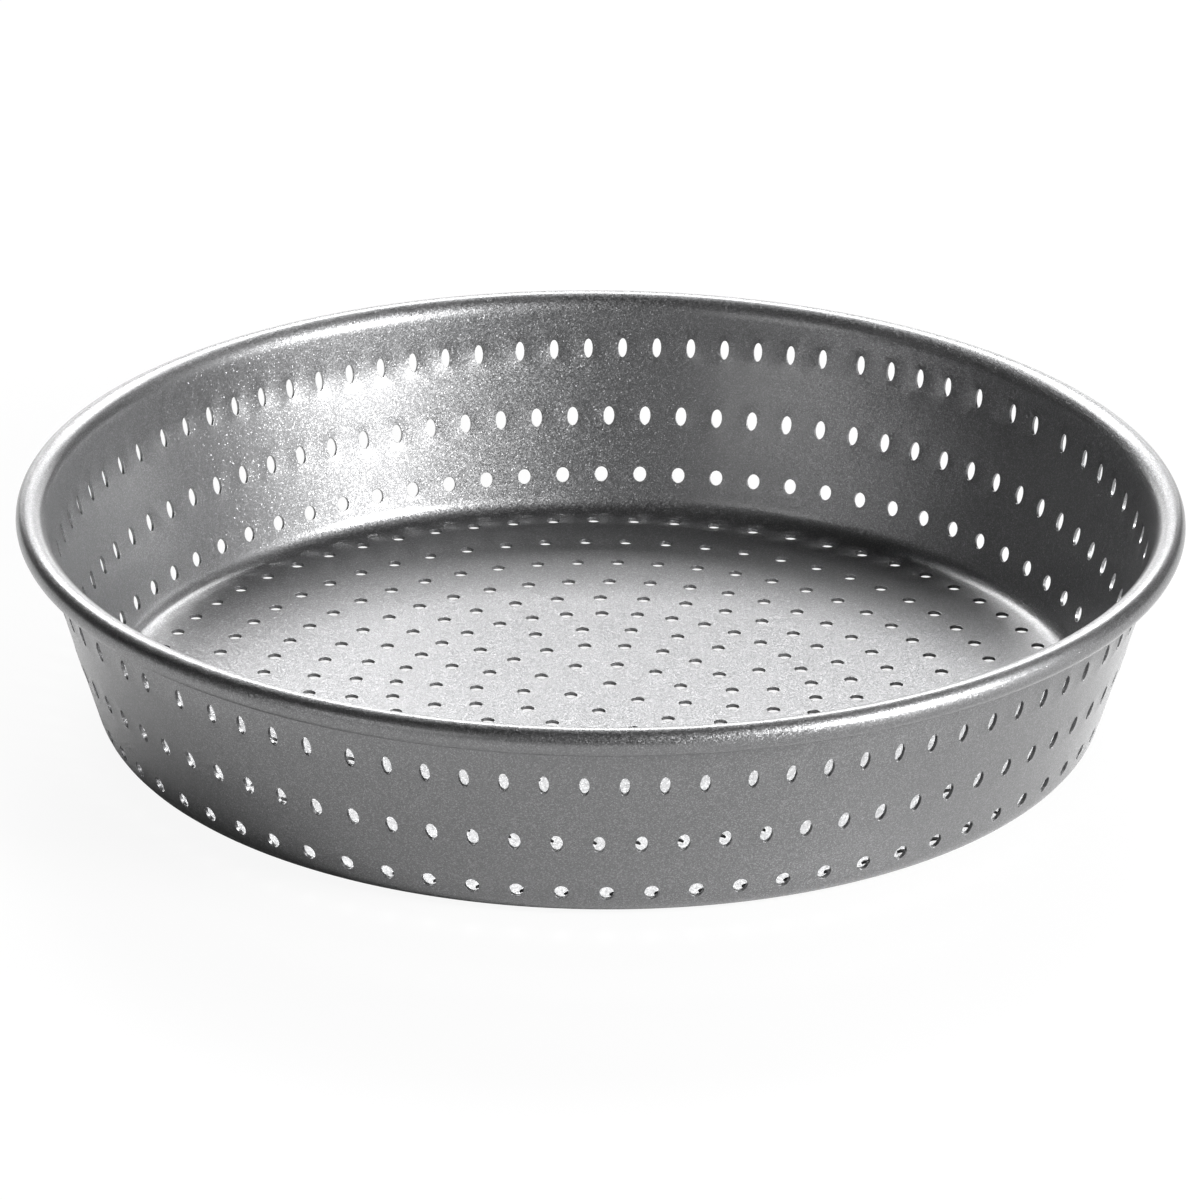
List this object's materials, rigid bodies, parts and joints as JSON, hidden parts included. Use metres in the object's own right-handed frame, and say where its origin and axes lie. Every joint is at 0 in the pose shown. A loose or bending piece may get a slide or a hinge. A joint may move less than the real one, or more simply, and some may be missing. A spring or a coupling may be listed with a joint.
{
  "type": "perforated pie pan",
  "caption": "Round perforated pie pan of coated sheet steel: a flat floor, a flared wall drawn from the same sheet, and a rim rolled over a wire hoop.",
  "frame": {"origin": "centre of the underside of the floor, where the pan stands", "axes": "+Z along the pan's axis, up out of its mouth; +X and +Y through the middle holes of the floor's quarters"},
  "size_m": [0.24, 0.24, 0.0465],
  "materials": {
    "coated_steel": "dark grey non-stick coating, satin, with a fine metallic fleck",
    "wire_steel": "plain drawn steel wire"
  },
  "bodies": {
    "root": {"pan_shell": "coated_steel", "rim_wire": "wire_steel"}
  },
  "joints": []
}
